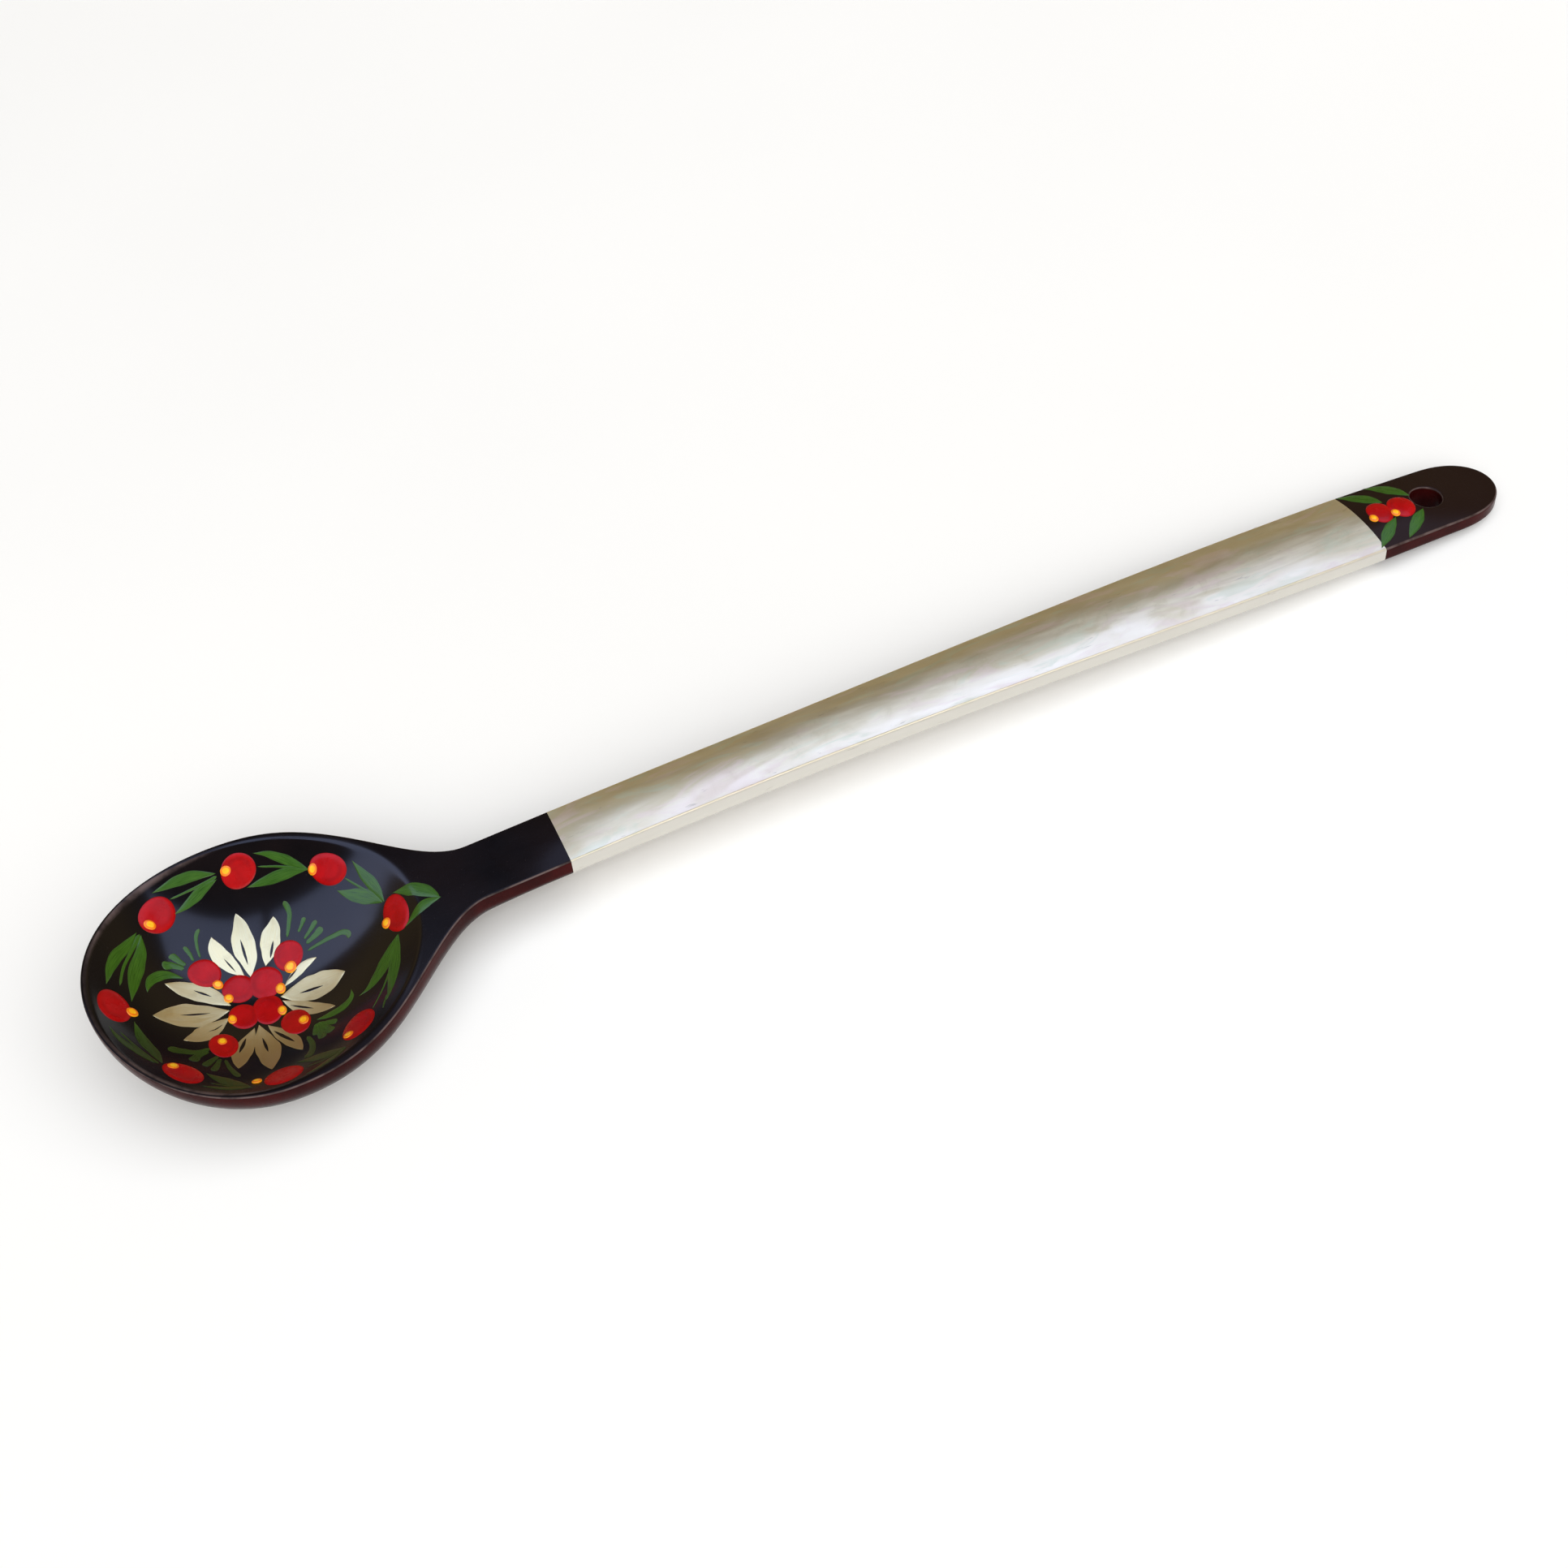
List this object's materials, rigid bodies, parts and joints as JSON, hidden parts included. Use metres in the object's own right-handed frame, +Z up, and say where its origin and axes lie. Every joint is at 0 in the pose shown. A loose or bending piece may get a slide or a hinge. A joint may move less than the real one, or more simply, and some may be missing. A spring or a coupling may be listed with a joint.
{
  "type": "painted wooden spoon",
  "caption": "Painted wooden spoon: a round lacquered bowl with berries, leaves and a flower, on a long silver handle with a hanging hole.",
  "frame": {"origin": "middle of the spoon's footprint, on the table it rests on", "axes": "+X runs from the tip of the bowl to the end of the handle, +Z is up, with the spoon resting on the back of its bowl and the end of its handle"},
  "size_m": [0.2995, 0.0638, 0.0222],
  "materials": {
    "wood": "matte",
    "black_lacquer": "gloss",
    "silver_lacquer": "satin",
    "silver_petal_paint": "satin",
    "red_paint": "gloss",
    "yellow_paint": "gloss",
    "green_paint": "gloss"
  },
  "bodies": {
    "root": {"wooden_blank": "wood", "black_ground_bowl": "black_lacquer", "silver_ground_handle": "silver_lacquer", "black_ground_tip": "black_lacquer", "garland_leaves": "green_paint", "garland_stems": "green_paint", "garland_berries": "red_paint", "garland_berry_dots": "yellow_paint", "flower_petals": "silver_petal_paint", "petal_veins": "black_lacquer", "flower_outer_berries": "red_paint", "flower_outer_dots": "yellow_paint", "flower_heart_berries": "red_paint", "flower_heart_dots": "yellow_paint", "grass_sprays": "green_paint", "tip_leaves": "green_paint", "tip_berries": "red_paint", "tip_berry_dots": "yellow_paint"}
  },
  "joints": []
}
